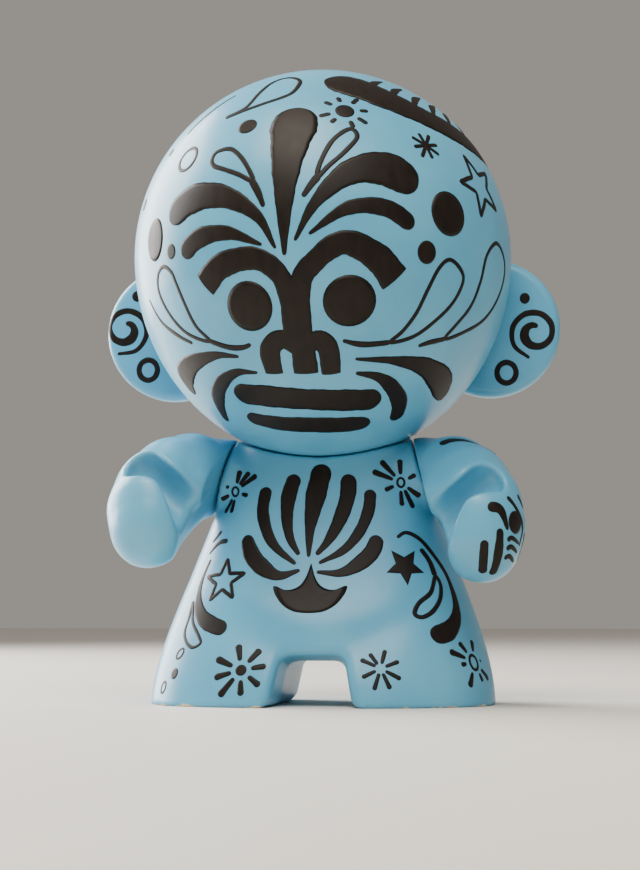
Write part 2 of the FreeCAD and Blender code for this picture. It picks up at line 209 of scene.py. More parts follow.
def torso_form(p):
    """The torso before the joints and the hollow are taken out."""
    z = np.clip(p[..., 2], *PROFILE_RANGE)
    width, depth, middle, square = [f(z) for f in PROFILE]
    x, y = np.abs(p[..., 0]), p[..., 1] - middle
    size = ((x / width) ** square + (np.abs(y) / depth) ** square) ** (1 / square)
    radius = np.hypot(x, y)
    body = (radius - radius / np.maximum(size, 1e-3)) * SQUIRCLE_SLOPE
    body = soft_max(body - belly_swell(p, x, z), -p[..., 2], SOLE_EDGE)
    return soft_max(body, -leg_gap(p, x, y), LEG_GAP_EDGE)


def beside_shoulder(p):
    """How far out of the shoulder's face, and how far from its axis."""
    q = np.stack([np.abs(p[..., 0]), p[..., 1], p[..., 2]], -1) - SHOULDER
    out = q @ SHOULDER_OUT
    return out, np.sqrt(np.maximum((q * q).sum(-1) - out * out, 0))


def torso_skin(p):
    """The outer surface of the torso, with its seats for the arms and the head."""
    out, across = beside_shoulder(p)
    boss = np.maximum(np.maximum(across - SHOULDER_RADIUS, out), -out - SHOULDER_BOSS)
    body = soft_min(torso_form(p), boss, BOSS_BLEND)
    body = soft_max(body, -np.maximum(across - SHOULDER_RADIUS - SEAT_MARGIN, -out), SEAT_EDGE)
    return soft_max(body, GAP - head_field(p), SEAT_EDGE)


def torso_field(p):
    """The whole shell, open where the joints pass through."""
    skin = torso_skin(p)
    out, across = beside_shoulder(p)
    shell = np.maximum(skin, -skin - WALL)
    shell = np.maximum(shell, -np.maximum(across - ARM_HOLE, -out - HOLE_DEPTH))
    q = to_axes(p, HEAD_CENTRE, NECK_AXES)
    neck = np.maximum(np.hypot(q[..., 0], q[..., 1]) - NECK_HOLE, -q[..., 2] - HEAD_FLAT - HOLE_DEPTH)
    return np.maximum(shell, -neck)


def arm_axes(swing):
    """Rows: out of the shoulder, to the thumb, along the arm."""
    hanging = np.array([math.sin(SHOULDER_TILT), 0, -math.cos(SHOULDER_TILT)])
    along = hanging * math.cos(swing) + np.array([0, -1.0, 0]) * math.sin(swing)
    return np.array([SHOULDER_OUT, np.cross(along, SHOULDER_OUT), along])


LEFT_AXES = arm_axes(LEFT_RAISE)
RIGHT_AXES = arm_axes(RIGHT_RAISE)
LOWEST_AXES = arm_axes(LOWEST_SWING)


def arm_skin(p):
    """The left arm in its own axes: X out of the shoulder, Y to the thumb, Z along the arm."""
    x, z = p[..., 0], p[..., 2]
    squeeze = 1 - ARM_BROADER * np.clip(z / ARM_BROADER_FROM, 0, 1)
    q = np.stack([x, p[..., 1] * squeeze, z], -1)
    body = cone(q, ARM[0], ARM[1])
    for a, b in zip(ARM[1:], ARM[2:]):
        body = soft_min(body, cone(q, a, b), ARM_BLEND)
    body = soft_min(body, cone(p, *HEEL), ARM_BLEND)
    out, along = PALM_DEEPEST
    palm = np.hypot(x - out + PALM_RADIUS, z - along) - PALM_RADIUS
    body = soft_max(body, -palm, PALM_EDGE)
    body = soft_min(body, cone(p, *THUMB), THUMB_BLEND)
    return soft_max(body, -cone(p, *GRIP), GRIP_EDGE)


def arm_field(p):
    """The arm's whole shell, cut off at its seat and kept clear of the torso at its lowest."""
    skin = soft_max(arm_skin(p), GAP - p[..., 0], CONTACT_EDGE)
    skin = soft_max(skin, ARM_CLEARANCE - torso_skin(p @ LOWEST_AXES + SHOULDER), CLEARANCE_EDGE)
    shell = np.maximum(skin, -skin - ARM_WALL)
    hole = np.maximum(np.hypot(p[..., 1], p[..., 2]) - ARM_HOLE, p[..., 0] - ARM_HOLE_DEPTH)
    return np.maximum(shell, -hole)


def left_place(q):
    """From the arm's own axes to where the left arm is at rest."""
    return q @ LEFT_AXES + SHOULDER


def right_place(q):
    return mirror(q @ RIGHT_AXES + SHOULDER)


def left_arm_skin(p):
    """The left arm's surface where it is at rest."""
    return arm_skin(to_axes(p, SHOULDER, LEFT_AXES))


# ---- meshing
def gradient(field, p, step=0.02):
    parts = []
    for i in range(3):
        d = np.zeros(3)
        d[i] = step
        parts.append((field(p + d) - field(p - d)) / (2 * step))
    return np.stack(parts, -1)


def settle(field, p, rounds=4, reach=0.6):
    """Moves points onto the surface, along the field's slope, and gives the outward normals."""
    for _ in range(rounds):
        g = gradient(field, p)
        size = np.maximum((g * g).sum(-1, keepdims=True), 1e-6)
        move = field(p)[..., None] * g / size
        length = np.maximum(np.linalg.norm(move, axis=-1, keepdims=True), 1e-9)
        p = p - move * np.minimum(1, reach / length)
    g = gradient(field, p)
    return p, g / np.maximum(np.linalg.norm(g, axis=-1, keepdims=True), 1e-9)


CORNERS = [(i, j, k) for i in (0, 1) for j in (0, 1) for k in (0, 1)]


def at_corner(array, corner):
    """A grid's values at one corner of every cell."""
    return array[tuple(slice(c, c + n - 1) for c, n in zip(corner, array.shape))]


def crossing_points(value, cells):
    """The middle of the places where the surface crosses the edges of each cell, in cells."""
    points, weight = np.zeros((len(cells), 3)), np.zeros(len(cells))
    for a in CORNERS:
        for axis in range(3):
            if a[axis]:
                continue
            b = tuple(v + (i == axis) for i, v in enumerate(a))
            va = value[tuple((cells + a).T)]
            vb = value[tuple((cells + b).T)]
            cross = (va < 0) != (vb < 0)
            t = va / np.where(cross, va - vb, 1)
            where = np.array(a) + t[:, None] * (np.array(b) - np.array(a))
            points += where * cross[:, None]
            weight += cross
    return cells + points / weight[:, None]


def crossing_quads(inside, index):
    """A quad across each grid line that the surface crosses, facing outwards."""
    quads = []
    for axis in range(3):
        u, v = [(1, 2), (2, 0), (0, 1)][axis]
        start = [slice(1, -1)] * 3
        start[axis] = slice(0, -1)
        ahead = list(start)
        ahead[axis] = slice(1, None)
        first, second = inside[tuple(start)], inside[tuple(ahead)]
        for sign, where in ((1, first & ~second), (-1, second & ~first)):
            at = np.argwhere(where) + 1
            at[:, axis] -= 1
            ring = []
            for du, dv in ((0, 0), (-1, 0), (-1, -1), (0, -1)):
                c = at.copy()
                c[:, u] += du
                c[:, v] += dv
                ring.append(index[tuple(c.T)])
            quads.append(np.stack(ring[::sign], -1))
    return np.concatenate(quads)


def surface_net(field, low, high, cell):
    """A closed quad mesh of the field's zero surface: one point in each cell that it crosses."""
    axes = [np.arange(a, b + cell, cell) for a, b in zip(low, high)]
    grid = np.stack(np.meshgrid(*axes, indexing="ij"), -1)
    value = np.stack([field(slab) for slab in grid])
    inside = value < 0
    total = sum(at_corner(inside, c).astype(np.int8) for c in CORNERS)
    cells = np.argwhere((total > 0) & (total < len(CORNERS)))
    index = -np.ones(total.shape, int)
    index[tuple(cells.T)] = np.arange(len(cells))
    return np.array(low) + crossing_points(value, cells) * cell, crossing_quads(inside, index)


def relaxed(points, quads, field, rounds):
    """Evens out the points along the surface."""
    edges = np.concatenate([quads[:, [i, (i + 1) % 4]] for i in range(4)])
    count = np.maximum(np.bincount(edges[:, 0], minlength=len(points)), 1)[:, None]
    for _ in range(rounds):
        total = np.zeros_like(points)
        np.add.at(total, edges[:, 0], points[edges[:, 1]])
        points, _ = settle(field, points + (total / count - points) * 0.5, 1)
    return settle(field, points, 3)[0]


def mesh_object(name, points, faces):
    """A Blender mesh from points in millimetres."""
    mesh = bpy.data.meshes.new(name)
    mesh.from_pydata((np.asarray(points) / 1000).tolist(), [], [list(map(int, f)) for f in faces])
    mesh.validate()
    mesh.update()
    obj = bpy.data.objects.new(name, mesh)
    bpy.context.scene.collection.objects.link(obj)
    mesh.polygons.foreach_set("use_smooth", [True] * len(mesh.polygons))
    return obj


def shell(name, field, low, high, cell, place=None, flip=False):
    points, quads = surface_net(field, low, high, cell)
    points = relaxed(points, quads, field, 2)
    if place is not None:
        points = place(points)
    return mesh_object(name, points, quads[:, ::-1] if flip else quads)


QUARTER = 51  # points in each quarter of the head's outer profile
INNER_QUARTER = 12
AROUND = 200  # points round the head
NECK_LIP = 0.4


def arc(across, along, start, end, count):
    """Points on an ellipse by its two half axes, as distance from the neck axis and height."""
    return [(across * math.sin(a), along * math.cos(a)) for a in np.linspace(start, end, count)]


def head_profile():
    """Round the cut wall of the head, from the crown down to the neck's hole and back inside."""
    quarter = math.pi / 2
    flat_start = math.acos(HEAD_FLAT / CHIN_RADIUS)
    profile = arc(HEAD_RADIUS, HEAD_RADIUS, 0, quarter, QUARTER)[1:]
    profile += arc(HEAD_RADIUS, -CHIN_RADIUS, quarter, flat_start, QUARTER)[1:]
    profile += [(NECK_HOLE + NECK_LIP, -HEAD_FLAT), (NECK_HOLE, -HEAD_FLAT + NECK_LIP)]
    radius, chin = HEAD_RADIUS - WALL, CHIN_RADIUS - WALL
    profile.append((NECK_HOLE, WALL - HEAD_FLAT))
    profile += arc(radius, -chin, math.acos((HEAD_FLAT - WALL) / chin), quarter, INNER_QUARTER)
    return profile + arc(radius, radius, quarter, 0, INNER_QUARTER)[1:-1]


def head_shell():
    """The head's wall, turned about the neck axis from its profile."""
    profile = head_profile()
    turn = np.linspace(0, 2 * math.pi, AROUND, endpoint=False)
    points = [np.array([[0, 0, HEAD_RADIUS]])]
    for radius, z in profile:
        points.append(np.stack([radius * np.cos(turn), radius * np.sin(turn), np.full(AROUND, z)], -1))
    points.append(np.array([[0, 0, HEAD_RADIUS - WALL]]))
    points = np.concatenate(points) @ np.array(NECK_AXES) + HEAD_CENTRE
    last = len(points) - 1
    faces = []
    for i in range(AROUND):
        j = (i + 1) % AROUND
        faces.append((0, 1 + i, 1 + j))
        faces.append((last, last - AROUND + j, last - AROUND + i))
    for row in range(len(profile) - 1):
        a, b = 1 + row * AROUND, 1 + (row + 1) * AROUND
        for i in range(AROUND):
            j = (i + 1) % AROUND
            faces.append((a + i, b + i, b + j, a + j))
    return mesh_object("head_skin", points, faces)


# ---- paint films
OUTSIDE = 90.0  # farther out than the figure reaches
LOOK_REACH = 130.0
CENTRE_REACH = 80.0
LOOK_STEPS = 1300
DISC_RINGS = 5
THIN_LINE = 1.0  # half width under which a stroke has fewer columns
SHORTEST_TIP = 0.15
BLUNT_TIP = 0.35
SAMPLE = 0.55  # spacing along a curve


class Film:
    """Collects closed raised patches that lie on one surface."""

    def __init__(self, field, centre=None):
        self.field = field
        self.centre = centre
        self.points = []
        self.faces = []
        self.count = 0
        self.lift = 0.0

    def front(self, x, z):
        """The surface point met by looking along +Y at this place."""
        return self.first_hit(np.array([x, -OUTSIDE, z]), np.array([0, 1.0, 0]), LOOK_REACH)

    def back(self, x, z):
        """The surface point met by looking along -Y at this place."""
        return self.first_hit(np.array([x, OUTSIDE, z]), np.array([0, -1.0, 0]), LOOK_REACH)

    def around(self, lon, lat):
        """The surface point seen from the centre, in degrees round from the front and up."""
        a, b = math.radians(lon), math.radians(lat)
        away = np.array([math.sin(a) * math.cos(b), -math.cos(a) * math.cos(b), math.sin(b)])
        return self.first_hit(self.centre + away * CENTRE_REACH, -away, CENTRE_REACH)

    def at(self, first, second):
        """The surface point at this place: angles where the film has a centre, or else x and z."""
        return self.front(first, second) if self.centre is None else self.around(first, second)

    def first_hit(self, start, way, reach):
        """The first surface point along a line, or the nearest one where the line misses."""
        t = np.linspace(0, reach, LOOK_STEPS)
        value = self.field(start + t[:, None] * way)
        hits = np.nonzero(value < 0)[0]
        if len(hits) == 0:
            i = int(np.argmin(value))
            return settle(self.field, (start + t[i] * way)[None], 12)[0][0]
        return settle(self.field, (start + t[hits[0]] * way)[None])[0][0]

    def lay(self, on, normal, edge):
        """Adds points over and under the surface, closer where edge is 1. Gives the first index."""
        first = self.count
        self.lift = (self.lift + LIFT_STEP) % LIFT_RANGE
        height = FILM + self.lift - FILM_EDGE * edge
        self.points += [on + normal * height[:, None], on - normal * FILM_ROOT]
        self.count += 2 * len(on)
        return first

    def add(self, rows, closed_rows):
        """A grid of points near the surface becomes a closed sheet over it."""
        rows = np.asarray(rows)
        n, m = rows.shape[:2]
        on, normal = settle(self.field, rows.reshape(-1, 3))
        base = self.lay(on, normal, np.tile(np.abs(np.linspace(-1, 1, m)) ** 6, n))
        size = n * m

        def at(i, j, low):
            return base + (i % n) * m + (j % m) + (size if low else 0)

        last_row = n if closed_rows else n - 1
        for i in range(last_row):
            for j in range(m - 1):
                self.faces.append((at(i, j, 0), at(i, j + 1, 0), at(i + 1, j + 1, 0), at(i + 1, j, 0)))
                self.faces.append((at(i, j, 1), at(i + 1, j, 1), at(i + 1, j + 1, 1), at(i, j + 1, 1)))
            self.faces.append((at(i, 0, 0), at(i + 1, 0, 0), at(i + 1, 0, 1), at(i, 0, 1)))
            self.faces.append((at(i + 1, m - 1, 0), at(i, m - 1, 0), at(i, m - 1, 1), at(i + 1, m - 1, 1)))
        if not closed_rows:
            for j in range(m - 1):
                self.faces.append((at(0, j + 1, 0), at(0, j, 0), at(0, j, 1), at(0, j + 1, 1)))
                self.faces.append((at(n - 1, j, 0), at(n - 1, j + 1, 0), at(n - 1, j + 1, 1),
                                   at(n - 1, j, 1)))

    def disc(self, centre, outline):
        """A patch round a surface point. The outline is in the plane that touches it there."""
        on, normal = settle(self.field, np.asarray(centre)[None])
        across, up = plane_axes(normal[0])
        flat = outline[:, :1] * across + outline[:, 1:] * up
        levels = [on[0] + flat * (i / DISC_RINGS) for i in range(1, DISC_RINGS + 1)]
        on_top, normals = settle(self.field, np.concatenate([on] + levels))
        size, m = len(on_top), len(outline)
        base = self.lay(on_top, normals, (np.arange(size) >= size - m).astype(float))
        for i in range(m):
            j = (i + 1) % m
            self.faces.append((base, base + 1 + i, base + 1 + j))
            self.faces.append((base + size, base + size + 1 + j, base + size + 1 + i))
            for r in range(DISC_RINGS - 1):
                a, b = base + 1 + r * m, base + 1 + (r + 1) * m
                self.faces.append((a + i, b + i, b + j, a + j))
                self.faces.append((a + size + i, a + size + j, b + size + j, b + size + i))
            rim = base + 1 + (DISC_RINGS - 1) * m
            self.faces.append((rim + i, rim + size + i, rim + size + j, rim + j))

    def stroke(self, points, widths, closed=False, ends=(True, True)):
        """A brush stroke through surface points. Widths are full widths, one for each point."""
        path, share = curve(np.asarray(points, float), closed)
        path = settle(self.field, path)[0]
        run, total = run_length(path, closed)
        half = np.interp(share, np.linspace(0, 1, len(widths)), np.asarray(widths, float)) / 2
        half = wavering(smoothed(half, closed), run, len(self.points))
        if closed:
            tangent = np.roll(path, -1, 0) - np.roll(path, 1, 0)
        else:
            half = rounded_ends(half, run, total, ends)
            tangent = np.gradient(path, axis=0)
        normal = settle(self.field, path)[1]
        side = np.cross(normal, tangent)
        side /= np.maximum(np.linalg.norm(side, axis=1, keepdims=True), 1e-9)
        columns = 5 if half.max() < THIN_LINE else 9
        rows = path[:, None] + side[:, None] * half[:, None, None] * np.linspace(1, -1, columns)[:, None]
        self.add(rows, closed)

    def beside(self, centre, spots):
        """Surface points at these distances right of and above a surface point."""
        on, normal = settle(self.field, np.asarray(centre)[None])
        across, up = plane_axes(normal[0])
        flat = np.array([on[0] + across * x + up * y for x, y in spots])
        return settle(self.field, flat, 6)[0]

    def finish(self, name):
        return mesh_object(name, np.concatenate(self.points), self.faces)


def plane_axes(normal):
    """Right and up on a surface, as seen from in front of it."""
    across = np.cross(np.array([0, 0, 1.0]), normal)
    across /= max(np.linalg.norm(across), 1e-6)
    return across, np.cross(normal, across)


def run_length(path, closed):
    """How far along the path each point is, and the whole length."""
    step = np.linalg.norm(np.diff(path, axis=0, append=path[:1] if closed else path[-1:]), axis=1)
    run = np.concatenate([[0], np.cumsum(step)[:-1]])
    return run, run[-1] + (step[-1] if closed else 0)


def wavering(half, run, start):
    """Half widths with the small unevenness of a line drawn by hand."""
    wave = np.sin(run * 0.9 + start) + 0.6 * np.sin(run * 2.3 + 2.1 * start)
    return half * (1 + 0.018 * wave) + 0.01 * wave * np.minimum(half, 1)


def rounded_ends(half, run, total, ends):
    """Half widths that close in a round tip at each end, or in a blunt one where ends says so."""
    for side, distance in ((0, run), (-1, total - run)):
        reach = max(half[side], SHORTEST_TIP) if ends[side] else BLUNT_TIP
        inside = np.clip(distance / reach, 0, 1)
        half = half * np.sqrt(np.maximum(1 - (1 - inside) ** 2, 0.002))
    return half


def smoothed(values, closed):
    """Values evened out along the way."""
    kernel = np.array([1, 2, 3, 4, 5, 4, 3, 2, 1]) / 25
    mode = "wrap" if closed else "edge"
    return np.convolve(np.pad(values, 4, mode=mode), kernel, "valid")


def curve(points, closed):
    """A smooth line through the points, finely spaced, with each sample's share of the way."""
    n = len(points)
    if closed:
        padded = np.concatenate([points[-1:], points, points[:2]])
        spans = n
    else:
        first, last = 2 * points[0] - points[1], 2 * points[-1] - points[-2]
        padded = np.concatenate([[first], points, [last]])
        spans = n - 1
    samples, shares = [], []
    for i in range(spans):
        a, b, c, d = padded[i:i + 4]
        count = max(3, int(np.linalg.norm(c - b) / SAMPLE))
        for t in np.arange(count) / count:
            samples.append(0.5 * (2 * b + (c - a) * t + (2 * a - 5 * b + 4 * c - d) * t ** 2
                                  + (3 * b - a - 3 * c + d) * t ** 3))
            shares.append((i + t) / spans)
    if not closed:
        samples.append(points[-1])
        shares.append(1.0)
        samples, shares = denser_ends(np.array(samples), np.array(shares))
    return np.array(samples), np.array(shares)


def denser_ends(path, share):
    """Adds samples near both ends, so that round ends come out round."""
    position = np.arange(len(path), dtype=float)
    extra = [0.04, 0.12, 0.25, 0.4, 0.6, 0.8, 1.3, 1.6]
    wanted = np.unique(np.concatenate([position, extra, position[-1] - np.array(extra)]))
    wanted = wanted[(wanted >= 0) & (wanted <= position[-1])]
    path = np.stack([np.interp(wanted, position, path[:, i]) for i in range(3)], -1)
    return path, np.interp(wanted, position, share)


def oval(width, height, lean=0.0, count=28):
    t = np.linspace(0, 2 * math.pi, count, endpoint=False)
    x, y = width / 2 * np.cos(t), height / 2 * np.sin(t)
    a = math.radians(lean)
    return np.stack([x * math.cos(a) - y * math.sin(a), x * math.sin(a) + y * math.cos(a)], -1)


def cup_outline():
    """A bowl with a spike in the middle of its rim and a blunt horn at each end."""
    side = [(0, 11.4), (0.6, 9.4), (1.3, 7.3), (2.6, 5.1), (4.7, 3.8), (7.1, 3.7), (9.4, 4.8), (10.2, 4.5),
            (9.4, 2.1), (7.3, -0.9), (4.5, -2.8), (1.7, -3.4)]
    around = [(x, y, 0) for x, y in side] + [(-x, y, 0) for x, y in side[:0:-1]]
    return curve(np.array(around), True)[0][::-1, :2]


def star_outline(outer, inner, lean=0.0, between=4):
    corners = []
    for i in range(10):
        a = math.radians(90 + lean + 36 * i)
        r = outer if i % 2 == 0 else inner
        corners.append((r * math.cos(a), r * math.sin(a)))
    return dense(corners, between)


def dense(corners, between):
    """A closed outline with straight sides, sampled."""
    corners = np.array(corners, float)
    nxt = np.roll(corners, -1, 0)
    return np.concatenate([a + (b - a) * (np.arange(between) / between)[:, None]
                           for a, b in zip(corners, nxt)])


# ---- motifs
def outline(film, centre, rim, width):
    """A closed line through places round a surface point."""
    film.stroke(film.beside(centre, rim), [width] * len(rim), True)


def evenly(count, reach, turn):
    """Petals in a ring, a little uneven as drawn by hand: the angle and reach of each."""
    return [(turn + 360 / count * i + 6 * math.sin(2.7 * i + turn),
             reach * (1 + 0.09 * math.sin(4.1 * i + turn))) for i in range(count)]


def along(angle, distances):
    """Places on a line through the middle, at this angle in degrees."""
    a = math.radians(angle)
    return [(r * math.cos(a), r * math.sin(a)) for r in distances]


def flower(film, centre, petals, core=1.6, ring=False, thin=0.9, fat=1.8):
    """A dot or ring with petals round it, each fatter at its outer end."""
    if ring:
        outline(film, centre, oval(core * 1.7, core * 2.1, count=8), 0.3 + 0.3 * core)
    elif core:
        film.disc(centre, oval(core * 2, core * 2))
    near = core * 1.25 + (0.8 if core else 1.4)
    for angle, reach in petals:
        spots = along(angle, (near, (near + reach) / 2, reach))
        tip = fat * (0.5 + 0.07 * reach)
        film.stroke(film.beside(centre, spots), [thin, (thin + tip) / 2, tip])


def outline_star(film, centre, size, lean, width=1.15):
    outline(film, centre, star_outline(size, size * 0.42, lean, 3), width)


def asterisk(film, centre, long, width, strokes, lean):
    """Straight strokes crossing in one point."""
    for i in range(strokes):
        half = long / 2 * (1 + 0.08 * math.sin(2.3 * i + lean))
        spots = along(lean + 180 / strokes * i, (-half, 0, half))
        film.stroke(film.beside(centre, spots), [width, width * 0.9, width])


def plume(film, places, widths, ends=(True, True)):
    film.stroke([film.at(*p) for p in places], widths, ends=ends)


def loop(film, places, width=1.35):
    """A closed outline through the places."""
    film.stroke([film.at(*p) for p in places], [width] * len(places), True)


def paint_head(film):
    paint_crest(film)
    paint_face(film)
    paint_cheeks(film)
    paint_scatter(film)
    paint_crown(film)
    paint_back(film)


def paint_crest(film):
    """One broad drop, an outlined drop on each side, and two plumes on each side."""
    plume(film, [(-2, 40), (-3, 31), (-4, 16), (-4, -8)], [12.4, 13, 7.5, 0.9])
    loop(film, [(-30, 22.5), (-29, 25), (-24, 25.5), (-19.5, 22.5), (-15.5, 17.5), (-14, 14), (-19, 16.5),
         (-24.5, 18.7), (-28.5, 20.3)])
    plume(film, [(-14.5, 14.5), (-12, 10.5), (-10, 6)], [2.2, 2, 1.2])
    loop(film, [(16, 31), (18, 28), (13.5, 22.5), (8.5, 17.8), (5.5, 14.5), (6, 18.5), (10, 26.5)])
    plume(film, [(5.8, 15), (3.5, 12), (1.2, 8.5)], [2.2, 2, 1.2])
    plume(film, [(-44, 5.5), (-35, 10.5), (-23, 10), (-12, 3.5), (-6.5, -6)], [8, 9, 6.4, 3, 0.8])
    plume(film, [(-38, -5.5), (-31, -1.3), (-21, -0.8), (-10.5, -4.8)], [5.6, 5.8, 3.8, 0.8])
    plume(film, [(35.5, 12.5), (26.5, 17.5), (15, 16), (5, 7), (-1, -4)], [9.6, 11, 7.2, 3.2, 0.8])
    plume(film, [(33.5, 1), (25, 5.7), (14, 5.2), (3, -2.2)], [4.8, 5, 3.8, 0.8])


def paint_face(film):
    """Brows that run down into the nose, round eyes, and two bars for the mouth."""
    plume(film, [(-30.5, -15), (-23.5, -9.8), (-13, -8.5), (-6, -13), (-3, -21), (-2, -34)],
          [7.2, 7, 6, 5.2, 5.4, 6.5], (False, True))
    plume(film, [(28.5, -14.5), (22.3, -8.3), (13, -4.5), (5, -9.5), (0, -18), (0.6, -43)],
          [8.4, 7.6, 6.4, 5.6, 5.8, 6.6], (False, False))
    for wing in ([(-11.8, -42.8), (-11.4, -35), (-6.5, -32), (0, -36)],
                 [(10.2, -43.2), (8.7, -35), (5, -32.3), (0, -36)]):
        plume(film, wing, [5, 5.8, 5.4, 4], (False, True))
    film.disc(film.at(-16, -21.9), oval(13, 13.6))
    film.disc(film.at(15, -20.9), oval(14.2, 13.8))
    plume(film, [(-34, -48.2), (-18, -50.4), (0, -52), (18, -52.3), (34, -51.2)],
          [6.8, 7.8, 7.4, 7.8, 7.4])
    plume(film, [(-37, -57.5), (-20, -61.4), (0, -62.6), (20, -62.4), (35, -60.6)],
          [5, 6.4, 6.8, 6.8, 5.4])


def paint_cheeks(film):
    """Plumes beside the mouth, and long outlined drops over them that run out into one line."""
    plume(film, [(-18.5, -42), (-27.5, -41.5), (-37.5, -44.5), (-47, -50), (-57, -58)],
          [0.8, 2.4, 4.2, 4.6, 1.8])
    plume(film, [(19.5, -42.5), (28.5, -43.5), (36, -46.5), (44.5, -52), (50.5, -59)],
          [1, 2.8, 4.4, 4.9, 3.8])
    plume(film, [(-24, -36.5), (-34, -35.5), (-48, -37), (-59, -40.5), (-63, -46.5)],
          [0.8, 2.4, 5.4, 7.6, 2.4])
    plume(film, [(18.5, -38), (32.5, -38), (46.5, -39), (59, -42.5), (67, -46.5), (71, -49)],
          [0.8, 2.4, 5.4, 8.2, 6.5, 1.6])
    line = 1.15
    loop(film, [(-47.5, -7.5), (-44, -9.5), (-42.5, -12.5), (-40.5, -18.5), (-38, -26), (-34, -31),
         (-43, -28), (-49, -22), (-52.5, -14.5), (-51.3, -9.5)], line)
    plume(film, [(-34, -31), (-26.5, -33.5), (-21, -33.8), (-18, -33)], [1.4, 1.7, 1.5, 1])
    plume(film, [(-61, -15.5), (-56.5, -22.5), (-49.5, -27.5), (-42.5, -31)], [0.7, 1.1, 1.5, 1])
    loop(film, [(46.5, -7.3), (51, -9.4), (53, -12.7), (50.5, -19), (45, -25), (38, -30.3), (30, -32.5),
         (33.5, -29), (37, -23.5), (39.7, -16.4), (42.8, -10)], line)
    plume(film, [(30, -32.5), (20.5, -33.5), (13.5, -32.5)], [1.4, 1.8, 1])
    loop(film, [(69.5, 0.5), (75.5, -2), (78.5, -7), (76, -14.5), (69.5, -22), (60, -27), (51.5, -30),
         (54, -26), (59, -19.5), (61.5, -12), (63.5, -4)], line)
    plume(film, [(51.5, -30), (45.5, -31.5), (41, -33)], [1.4, 1.6, 1])


def paint_scatter(film):
    """Dots, rings, a sun, stars and small drops scattered over the crown."""
    for lon, lat, wide, tall in ((46, 6, 11.8, 12.4), (38, -6, 5.8, 6.2), (-52, 1, 9, 12),
                                 (-43, -3.7, 3.8, 4.2), (-20, 33.5, 5.6, 5.2), (-58, 30, 2.2, 2.6),
                                 (-66, 14, 3, 3.6), (74, 32, 2.6, 3.1)):
        film.disc(film.at(lon, lat), oval(wide, tall))
    outline(film, film.at(-42, 24.6), oval(6.8, 7.2, count=8), 1.1)
    flower(film, film.at(15, 38.5), evenly(8, 6.8, 10), core=2.6, thin=1.3, fat=1.5)
    asterisk(film, film.at(42.5, 27.3), 9, 1.2, 4, 12)
    outline_star(film, film.at(64, 17), 9.4, 18, 1.3)
    loop(film, [(-32, 39), (-25, 42.5), (-23.5, 50), (-22, 57), (-17, 60.5), (-10, 59.7), (-5, 55.6),
         (-6, 49.2), (-10, 46), (-18.5, 43), (-26.5, 40.5)])
    plume(film, [(-40, 52), (-48, 44), (-53, 36)], [0.8, 1.3, 0.8])


def paint_crown(film):
    """A broad band from above the forehead round to one side, with thin strokes over it."""
    plume(film, [(8, 57), (20, 54), (35, 46.5), (50, 40), (64, 36), (78, 32.5), (90, 29)],
          [11.5, 14, 12, 9.5, 9.5, 8.5, 3])
    for lon, lat in ((33, 58), (42, 54), (51, 50.5), (60, 48), (69, 46), (78, 43)):
        plume(film, [(lon - 4, lat - 7), (lon + 3, lat - 1), (lon + 12, lat + 2)], [1, 2.6, 0.6])


def paint_back(film):
    """The unseen back: the same kinds of marks, in a plain ring of plumes and flowers."""
    for i in range(6):
        lon = 180 + (i - 2.5) * 22
        plume(film, [(lon, 34), (lon + (i - 2.5) * 1.5, 16), (180 + (i - 2.5) * 5, -8)], [6, 5, 0.8])
    for lon, lat, reach in ((132, 2, 6), (228, 2, 6), (180, 54, 6.5), (120, 36, 4.6), (240, 36, 4.6)):
        flower(film, film.at(lon, lat), evenly(8, reach, lon))
    for side in (-1, 1):
        plume(film, [(180 + side * 10, -14), (180 + side * 32, -16), (180 + side * 52, -26),
              (180 + side * 50, -38)], [0.8, 2.6, 5.2, 6.2])
        film.disc(film.at(180 + side * 22, -28), oval(5.5, 6.5))
    film.disc(film.at(180, -24), oval(7, 10))


SPIRAL_START = 1.9
SPIRAL_TURN = 46  # degrees from one point of the spiral to the next
SPIRAL_GROWTH = 0.47


def paint_ear(film, side):
    """A dot, a spiral and a ring down the front of the ear. Side is 1 for the left ear."""
    x0, z0 = EAR_CENTRE[0] * side, EAR_CENTRE[2]
    if side > 0:
        dot, spiral, ring, start = (10, 8.4), (12.9, -1.6), (4.6, -13.1), 65
    else:
        dot, spiral, ring, start = (11, 11), (14.5, 1.2), (7.5, -10.9), 95
    film.disc(film.at(x0 + side * dot[0], z0 + dot[1]), oval(2.9, 3.2))
    places = []
    widths = [1.2, 1.8, 2.4, 2.8, 2.4, 1.9, 1.7, 1.7, 1.8, 1.7, 1.5, 1.3, 0.9]
    for i in range(len(widths)):
        a = math.radians(start + SPIRAL_TURN * i)
        r = SPIRAL_START + SPIRAL_GROWTH * i
        places.append((x0 + side * (spiral[0] + r * math.cos(a)), z0 + spiral[1] + r * math.sin(a)))
    plume(film, places, widths)
    rim = [(x0 + side * ring[0] + 2.75 * math.cos(a), z0 + ring[1] + 3.0 * math.sin(a))
           for a in np.linspace(0, 2 * math.pi, 9)[:-1]]
    loop(film, rim, 1.6)


